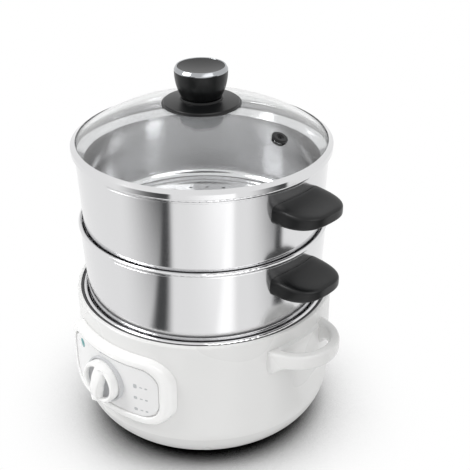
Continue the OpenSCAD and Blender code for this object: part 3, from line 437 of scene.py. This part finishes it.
# ---- Tier handles ----
# Black phenolic, pressed in a mould with a soft scooped top, screwed from below to a bracket that is spot
# welded to the pot.
TIER_FEET = {"lower": 131.0, "upper": 203.0}  # height of each tier's foot
TIER_R = 115.05  # the tier's wall at TIER_WALL_Z above its foot, from where it widens by TIER_FLARE
TIER_FLARE = 3.6
TIER_WALL_Z = 12
TIER_WALL_H = 72.25
GRIP_GAP = 0.2
GRIP_TOP = 71.0
GRIP_H = 20.5
GRIP_TIP_H = 10.0
GRIP_W = 62.0
GRIP_END = 155.0  # the tip, from the axis
GRIP_DISH = 1.5


def grip_grid(side, foot_z):
    """A soft-cornered section at each share s of the length: width by (1 - s^3)^(1/3), top and underside by
    powers of s, a shallow dish in the top, and the first section laid on the pot's wall
    x = sqrt(R(z)^2 - y^2)."""
    s = np.sin(np.linspace(0, np.pi / 2, 49))[:, None]
    cy, cz = squircle(np.linspace(0, 2 * np.pi, 72, endpoint=False)[None, :], 5.0)
    drop = GRIP_H - GRIP_TIP_H
    top = GRIP_TOP - drop * 0.45 * s ** 1.6
    low = GRIP_TOP - GRIP_H + drop * 0.55 * s ** 2.4
    half_w = GRIP_W / 2 * np.clip(1 - s ** 3, 0, None) ** (1 / 3)
    half_h = (top - low) / 2 * (1 - 0.2 * s ** 18)
    y = half_w * cy
    z = (top + low) / 2 + half_h * cz
    dish = GRIP_DISH * np.sin(np.pi * np.clip((s - 0.06) / 0.86, 0, 1)) * np.clip(1 - cy ** 2, 0, 1)
    z = z - dish * (cz > 0.5)
    wall = TIER_R + TIER_FLARE * (z - TIER_WALL_Z) / TIER_WALL_H + GRIP_GAP
    root = np.sqrt(wall ** 2 - y ** 2)
    x = root + (GRIP_END - root) * s
    return np.stack([side * x, y + 0 * x, foot_z + z], -1)


for level, foot_z in TIER_FEET.items():
    for side, word in ((-1, "left"), (1, "right")):
        grip = skin(f"{level}_side_grip_{word}", grip_grid(side, foot_z), phenolic, crease=50)
        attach(grip, f"{level}_steam_tier")
        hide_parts(f"{level}_grip_{word}")

# ---- Lid glass and band ----
# Tempered soda-lime glass, pressed to a shallow dome; a strip of polished steel is rolled round its edge.
# Pressing leaves the glass with a faint wave.
glass, tree = blank("tempered_glass_pressed")
at = add(tree, "TexCoord").outputs["Object"]
wave = add(tree, "TexNoise", {"Vector": at, "Scale": DRIFT, "Detail": 1.0})
bump = add(tree, "Bump", {"Height": wave.outputs["Fac"], "Strength": 0.05, "Distance": 0.1 * MM})
face = add(tree, "BsdfPrincipled", {"Base Color": linear("#FBFCFC"), "Roughness": 0.0, "IOR": 1.52,
                                    "Transmission Weight": 1.0, "Normal": bump.outputs["Normal"]})
add(tree, "OutputMaterial", {"Surface": face.outputs["BSDF"]})
dress(glass, "lid_glass")

# The strip's steel is rolled bright, so it mirrors more sharply than the pots' sheet.
bright_steel = spun_steel("stainless_strip_bright", "#DCDCDD", 0.1, 0.8, 0.2)
dress(bright_steel, "lid_band")

# ---- Lid knob ----
# A round phenolic knob on a black disc, with a bright plated ring pressed round its dished cap. One screw
# through the glass holds the stack.
DOME_R = 210.0  # outer face of the glass: a sphere of this radius, with its centre at DOME_Z
DOME_Z = 121.82
DISC_GAP = 0.05
DISC_T = 2.5
DISC_BORE = 2.3
GRIP_BORE = 2.05
LID_KNOB_H = 25.0
LID_KNOB_R = 18.5
LID_KNOB_SWELL = 6.0  # growth of the radius from the foot to the top
KNOB_FOOT = DOME_Z + DOME_R + 3.7
RING_LOW = KNOB_FOOT + (LID_KNOB_H + 0.05)
RING_BORE = 21.6
CAP_R = 21.5


def lathe(name, profile, material):
    """A closed profile of (r, z) points carried once round the axis: (r cos a, r sin a, z)."""
    r, z = np.array(profile, float).T[:, :, None]
    a = np.linspace(0, 2 * np.pi, 160, endpoint=False)[None, :]
    return skin(name, np.stack([r * np.cos(a), r * np.sin(a), z + 0 * a], -1), material, (True, True))


def bend(r, z, radius, start, end, n):
    """n points on an arc in the profile's plane, (r + radius cos a, z + radius sin a), angles in degrees."""
    a = np.radians(np.linspace(start, end, n))
    return [(r + radius * np.cos(t), z + radius * np.sin(t)) for t in a]


def over_dome(r, lift):
    """Height of a sphere lift above the glass's outer face, at distance r from the axis."""
    return DOME_Z + np.sqrt((DOME_R + lift) ** 2 - r ** 2)


disc_profile = [(r, over_dome(r, DISC_GAP)) for r in (DISC_BORE, 20.0, 36.2)]
disc_profile += bend(36.3, over_dome(36.3, DISC_GAP) + 0.7, 0.6, -90, 90, 7)
disc_profile += [(35.2, over_dome(35.2, 1.35)), (34.9, over_dome(34.9, 2.2))]
disc_profile += [(r, over_dome(r, DISC_T)) for r in np.linspace(20.5, 34.6, 10)[::-1]]
disc_profile += [(19.9, over_dome(19.9, 2.7)), (19.6, KNOB_FOOT - 0.3)]
disc_profile += [(19.3, KNOB_FOOT - 0.06), (DISC_BORE, KNOB_FOOT - 0.06)]
disc = lathe("lid_disc_moulded", disc_profile, phenolic)
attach(disc, "lid")
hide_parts("lid_disc")

# The knob's side is a belly: its radius grows by 1 - (1 - h)^2.2 over the share h of its height.
h = np.linspace(0, 1, 30)
belly = LID_KNOB_R + LID_KNOB_SWELL * (1 - (1 - h) ** 2.2)
grip_profile = [(GRIP_BORE, KNOB_FOOT), (17.9, KNOB_FOOT)]
grip_profile += [(r, KNOB_FOOT + 0.5 + (LID_KNOB_H - 0.5) * t) for r, t in zip(belly, h)]
grip_profile += [(GRIP_BORE, KNOB_FOOT + LID_KNOB_H)]
lid_grip = lathe("lid_grip_body", grip_profile, phenolic)
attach(lid_grip, "lid")
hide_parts("lid_knob")

# Chrome plate is a sharp mirror, a little darker than steel.
plated = spun_steel("chrome_plated_ring", "#A9ABAE", 0.12, 0.8, 0.2)
ring_profile = [(RING_BORE, RING_LOW), (24.3, RING_LOW), (24.5, RING_LOW + 0.25), (24.5, RING_LOW + 0.7)]
ring_profile += bend(23.6, RING_LOW + 0.9, 0.9, 0, 50, 5)
ring_profile += bend(22.3, RING_LOW + 3.2, 0.8, 40, 150, 7)
ring_profile += [(RING_BORE, RING_LOW + 3.4)]
trim_ring = lathe("knob_trim_ring", ring_profile, plated)
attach(trim_ring, "lid")
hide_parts("knob_ring")

# The cap's dish is a parabola, 1.9 mm deep.
cap_profile = [(0, RING_LOW), (CAP_R, RING_LOW), (CAP_R, RING_LOW + 3.3)]
cap_profile += [(r, RING_LOW + 1.6 + 1.9 * (r / CAP_R) ** 2) for r in np.linspace(0, 21.3, 18)[::-1]]
cap = lathe("knob_cap_dished", cap_profile, phenolic)
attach(cap, "lid")
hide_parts("knob_cap")

# ---- Steam vent ----
# A black silicone grommet, pressed by its groove into the hole in the glass. Steam leaves the dome through
# it, so its surface is dull and soft like the foot ring's.
dress(silicone, "steam_vent")

# ---- Studio ----
# White floor, white surroundings, two soft lamps. Two dark drapes and a white reflector lie where polished
# steel mirrors them, as in a product studio; only reflections see them.
FLOOR_HALF = 5.0
DRAPE_NEAR = 0.17  # the drapes' ends, in metres from the axis
DRAPE_FAR = 1.6
DRAPE_LIFT = 0.001
AMBIENT = 0.58  # the surroundings' strength as light; they are seen at 1


def stand_in_studio(name, corners, material):
    """A flat four-cornered stage piece."""
    mesh = bpy.data.meshes.new(name)
    mesh.from_pydata([tuple(float(v) for v in corner) for corner in corners], [], [(0, 1, 2, 3)])
    mesh.materials.append(material)
    made = bpy.data.objects.new(name, mesh)
    bpy.context.collection.objects.link(made)
    return made


def in_sight(tree):
    """1 for what the camera sees, also in a reflection or through glass, and 0 for light on the object."""
    path = add(tree, "LightPath")
    seen = add(tree, "Math", {0: path.outputs["Is Camera Ray"], 1: path.outputs["Is Glossy Ray"]},
               operation="MAXIMUM")
    seen = add(tree, "Math", {0: seen.outputs["Value"], 1: path.outputs["Is Transmission Ray"]},
               operation="MAXIMUM")
    return seen.outputs["Value"]


# Where nothing stands near, the floor shows as plain white. Near the base its colour is painted darker by
# ambient occlusion, down to black where it is most closed in: a painted contact shadow over the lamps' own.
floor_paint, tree = blank("studio_floor_paint")
seen = in_sight(tree)
cover = add(tree, "AmbientOcclusion", {"Distance": 0.16}, samples=12)
open_air = add(tree, "MapRange", {"Value": cover.outputs["AO"], "From Min": 0.3, "From Max": 0.86},
               interpolation_type="SMOOTHSTEP")
# Painted shadow: the floor's colour is 0.6 in open air and falls to black as the ambient occlusion closes in.
painted_shadow_tone = add(tree, "MapRange", {"Value": cover.outputs["AO"], "From Min": 0.25, "From Max": 0.9,
                               "To Min": 0.0, "To Max": 0.6})
paint = add(tree, "BsdfDiffuse", {"Color": (0.94, 0.94, 0.94, 1)})
shade = add(tree, "BsdfDiffuse", {"Color": painted_shadow_tone.outputs["Result"]})
white = add(tree, "Emission", {"Color": (1, 1, 1, 1), "Strength": 1.0})
shown = add(tree, "MixShader", {0: open_air.outputs["Result"], 1: shade.outputs["BSDF"],
                                2: white.outputs["Emission"]})
both = add(tree, "MixShader", {0: seen, 1: paint.outputs["BSDF"], 2: shown.outputs["Shader"]})
add(tree, "OutputMaterial", {"Surface": both.outputs["Shader"]})
floor_corners = [(x * FLOOR_HALF, y * FLOOR_HALF, 0) for x, y in ((-1, -1), (1, -1), (1, 1), (-1, 1))]
stand_in_studio("floor", floor_corners, floor_paint)


def drape(name, hex_colour, strength, bearing, spread):
    """A cloth laid on the floor as a wedge, seen only in reflections. Its middle points along a bearing in
    degrees from +X, and its edges fade out."""
    cloth, tree = blank(name + "_cloth")
    at = add(tree, "UVMap")
    across = add(tree, "SeparateXYZ", {"Vector": at.outputs["UV"]})
    near = add(tree, "Math", {0: across.outputs["X"], 1: 0.5}, operation="SUBTRACT")
    near = add(tree, "Math", {0: near.outputs["Value"]}, operation="ABSOLUTE")
    soft = add(tree, "MapRange", {"Value": near.outputs["Value"], "From Min": 0.5, "From Max": 0.12,
                                  "To Min": 0.0, "To Max": 0.95}, interpolation_type="SMOOTHSTEP")
    clear = add(tree, "BsdfTransparent")
    glow = add(tree, "Emission", {"Color": linear(hex_colour), "Strength": strength})
    mixed = add(tree, "MixShader", {0: soft.outputs["Result"], 1: clear.outputs["BSDF"],
                                    2: glow.outputs["Emission"]})
    add(tree, "OutputMaterial", {"Surface": mixed.outputs["Shader"]})
    a = np.radians(bearing + spread * np.array([-0.5, 0.5]))
    ray = np.stack([np.cos(a), np.sin(a), 0 * a], -1)
    lift = np.array([0, 0, DRAPE_LIFT])
    corners = [DRAPE_NEAR * ray[0], DRAPE_FAR * ray[0], DRAPE_FAR * ray[1], DRAPE_NEAR * ray[1]]
    made = stand_in_studio(name, [corner + lift for corner in corners], cloth)
    made.data.uv_layers.new(name="UVMap").data.foreach_set("uv", [0, 0, 0, 1, 1, 1, 1, 0])
    made.visible_camera = False
    made.visible_diffuse = False
    made.visible_shadow = False
    made.visible_transmission = False


drape("drape_left", "#2A2B2D", 1.0, -94, 50)
drape("drape_right", "#2A2B2D", 1.0, 8, 38)
drape("reflector", "#FFFFFF", 1.45, -40, 44)

world = bpy.data.worlds.new("studio")
bpy.context.scene.world = world
world.use_nodes = True
tree = world.node_tree
tree.nodes.clear()
seen = in_sight(tree)
dim = add(tree, "Background", {"Color": (1, 1, 1, 1), "Strength": AMBIENT})
full = add(tree, "Background", {"Color": (1, 1, 1, 1), "Strength": 1.0})
both = add(tree, "MixShader", {0: seen, 1: dim.outputs["Background"], 2: full.outputs["Background"]})
add(tree, "OutputWorld", {"Surface": both.outputs["Shader"]})


def facing(place, target):
    """A turn and place that points an object's -Z from place to target, with its X level."""
    away = np.array(place, float) - np.array(target, float)
    away /= np.linalg.norm(away)
    side = np.cross([0, 0, 1], away)
    side /= np.linalg.norm(side)
    pose = np.eye(4)
    pose[:3] = np.stack([side, np.cross(away, side), away, place], -1)
    return Matrix(pose.tolist())


# Each lamp is a square soft box: (name, place, side in metres, watts).
LAMPS_AIM = (0, 0, 0.2)
for name, place, size, power in (("key_lamp", (-0.9, -1.3, 1.8), 0.9, 24),
                                 ("fill_lamp", (1.6, -0.3, 1.6), 1.5, 10)):
    lamp = bpy.data.lights.new(name, "AREA")
    lamp.shape = "SQUARE"
    lamp.size = size
    lamp.energy = power
    stand = bpy.data.objects.new(name, lamp)
    bpy.context.collection.objects.link(stand)
    stand.matrix_world = facing(place, LAMPS_AIM)

# ---- Camera ----
# It stands where the photograph's camera stood for the base: 850 mm off the axis and 650 mm above the table.
# Its focal length was fitted to the base's outline, in pixels of the photograph.
EYE = (0.601, -0.601, 0.65)
AIM = (0.02165, 0.02165, 0.1906)
FOCAL_PX = 983.7
WIDTH_PX = 470
SENSOR_MM = 36.0
lens = bpy.data.cameras.new("camera")
lens.sensor_width = SENSOR_MM
lens.lens = FOCAL_PX / WIDTH_PX * SENSOR_MM
eye = bpy.data.objects.new("camera", lens)
bpy.context.collection.objects.link(eye)
eye.matrix_world = facing(EYE, AIM)
bpy.context.scene.camera = eye
bpy.context.scene.view_settings.view_transform = "Standard"
